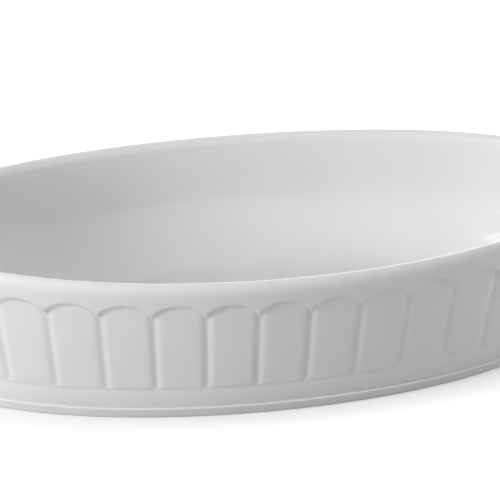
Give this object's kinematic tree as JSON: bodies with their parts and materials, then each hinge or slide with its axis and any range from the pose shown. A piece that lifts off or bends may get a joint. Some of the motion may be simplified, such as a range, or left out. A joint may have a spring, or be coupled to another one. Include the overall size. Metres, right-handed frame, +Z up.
{
  "type": "oval baking dish",
  "caption": "Deep oval baking dish of white glazed porcelain, with an arcade of round-headed panels on its leaning wall, a round rim and an unglazed foot ring.",
  "frame": {"origin": "on the table, under the middle of the dish", "axes": "+X along the dish, +Y across it, +Z up"},
  "size_m": [0.325, 0.19, 0.0677],
  "materials": {
    "glaze": "glossy white glaze",
    "bisque": "white glaze on the sides, wiped bare where it bears on the table"
  },
  "bodies": {
    "root": {"dish_body": "glaze", "foot_ring": "bisque"}
  },
  "joints": []
}
